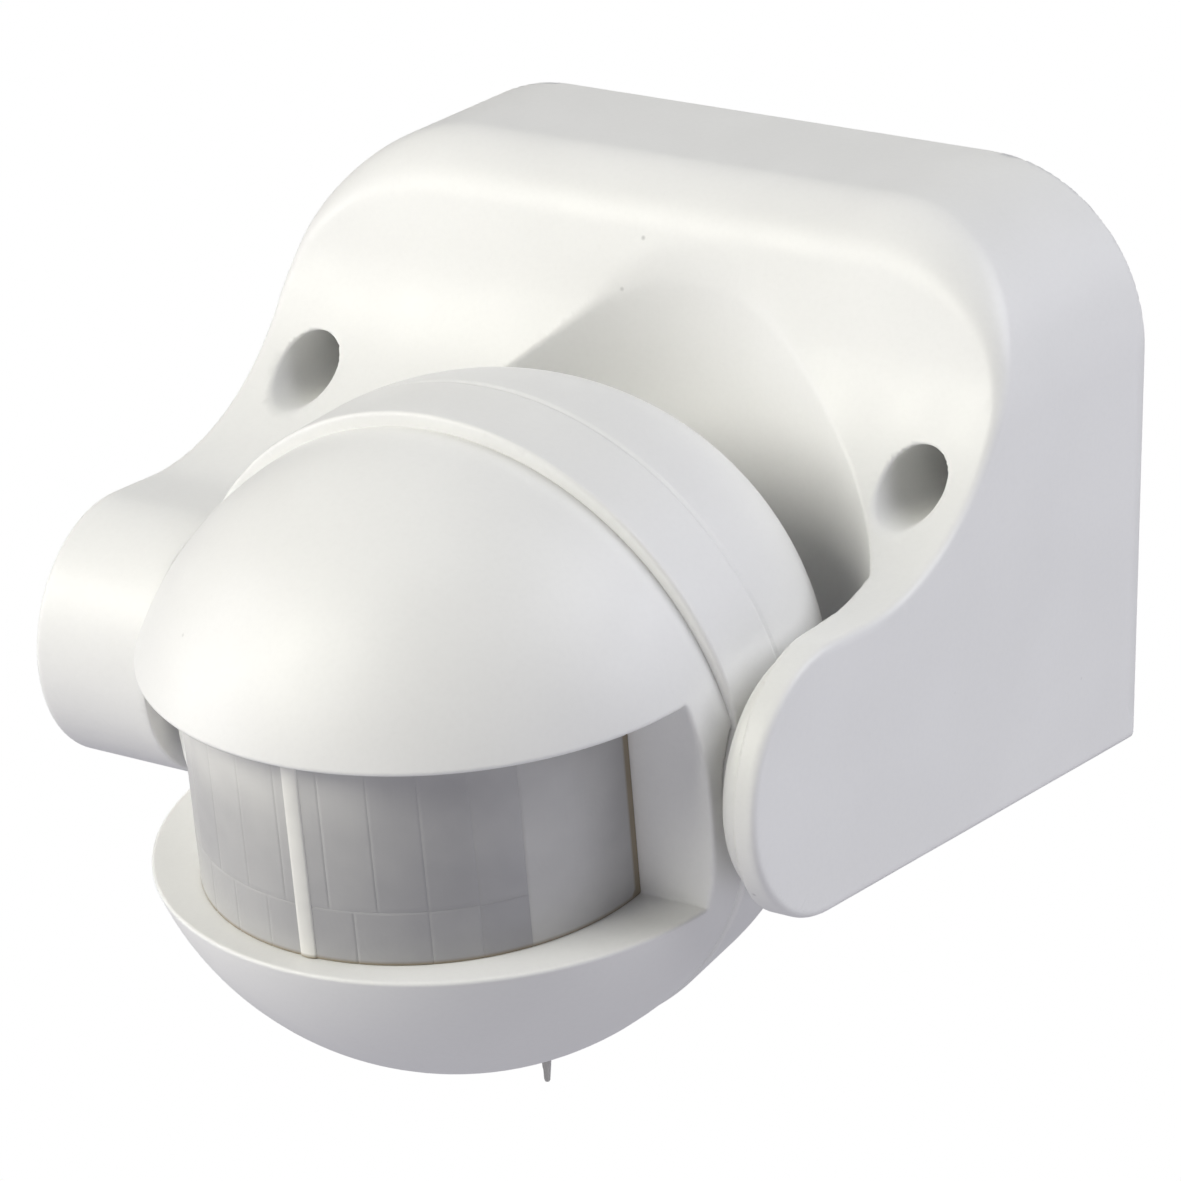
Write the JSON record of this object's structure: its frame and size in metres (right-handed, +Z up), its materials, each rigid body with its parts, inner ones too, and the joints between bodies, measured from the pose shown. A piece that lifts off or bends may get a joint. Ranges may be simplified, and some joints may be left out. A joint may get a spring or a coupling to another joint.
{
  "type": "motion sensor",
  "caption": "Wall-mounted outdoor infrared motion sensor: a white hood with two arms carries a ball head that tilts and has a curved lens window and grip knobs below.",
  "frame": {"origin": "centre of the hood's flat wall face, midway up and across", "axes": "+Y points into the wall, -Y is the front where the head looks out, +Z is up, +X is to the right seen from the front"},
  "size_m": [0.08, 0.0884, 0.0751],
  "materials": {
    "white_plastic": "fine satin moulded surface",
    "base_plastic": "satin moulded surface",
    "seal_rubber": "matt soft rubber",
    "screw_steel": "zinc plated",
    "terminal_brass": "turned brass",
    "lead_sheath": "matt cable sheath",
    "core_brown": "smooth insulation",
    "core_blue": "smooth insulation",
    "core_red": "smooth insulation",
    "lens_film": "milky translucent film with fine grooves",
    "nut_plastic": "glass filled nylon",
    "washer_nylon": "natural nylon",
    "board_laminate": "solder mask over laminate",
    "relay_case": "smooth case",
    "film_case": "potted case",
    "capacitor_sleeve": "shrink sleeve",
    "varistor_coat": "dipped coating",
    "sensor_can": "plated can",
    "light_cell": "coated cell",
    "led_red": "clear tinted lens",
    "pot_body": "moulded body",
    "knob_plastic": "satin moulded surface"
  },
  "bodies": {
    "hood_body": {"hood": "white_plastic", "wall_plate": "base_plastic", "perimeter_seal": "seal_rubber", "cable_grommet": "seal_rubber", "fixing_screws": "screw_steel", "terminal_block": "base_plastic", "terminal_clamps": "terminal_brass", "terminal_screws": "screw_steel", "block_screws": "screw_steel", "supply_lead": "lead_sheath", "live_core": "core_brown", "neutral_core": "core_blue", "load_core": "core_red", "friction_washer": "seal_rubber"},
    "head_body": {"head_rear_shell": "white_plastic", "head_front_shell": "white_plastic", "head_seal": "seal_rubber", "shell_screws": "screw_steel", "fresnel_lens": "lens_film", "lens_retainer": "base_plastic", "pivot_tube": "base_plastic", "spring_washer": "screw_steel", "pivot_nut": "nut_plastic", "pivot_pin": "base_plastic", "thrust_washer": "washer_nylon", "head_lead": "lead_sheath", "main_board": "board_laminate", "board_screws": "screw_steel", "relay": "relay_case", "film_capacitor": "film_case", "electrolytic_capacitors": "capacitor_sleeve", "varistor": "varistor_coat", "sensor_board": "board_laminate", "board_header": "nut_plastic", "pyro_sensor": "sensor_can", "light_sensor": "light_cell", "indicator_led": "led_red", "control_board": "board_laminate", "potentiometers": "pot_body"},
    "range_knob_body": {"range_knob": "knob_plastic"},
    "time_knob_body": {"time_knob": "knob_plastic"},
    "light_knob_body": {"light_knob": "knob_plastic"}
  },
  "joints": [
    {"name": "head_tilt", "type": "hinge", "parent": "hood_body", "child": "head_body", "pos_m": [0.004, -0.0532, -0.01485], "axis": [1, 0, 0], "range_deg": [-28, 60]},
    {"name": "range_turn", "type": "hinge", "parent": "head_body", "child": "range_knob_body", "pos_m": [-0.0045, -0.05847, -0.04205], "axis": [0, -0.1392, 0.9903], "range_deg": [-135, 135]},
    {"name": "time_turn", "type": "hinge", "parent": "head_body", "child": "time_knob_body", "pos_m": [0.004, -0.05831, -0.04314], "axis": [0, -0.1392, 0.9903], "range_deg": [-135, 135]},
    {"name": "light_turn", "type": "hinge", "parent": "head_body", "child": "light_knob_body", "pos_m": [0.0125, -0.05847, -0.04205], "axis": [0, -0.1392, 0.9903], "range_deg": [-135, 135]}
  ]
}
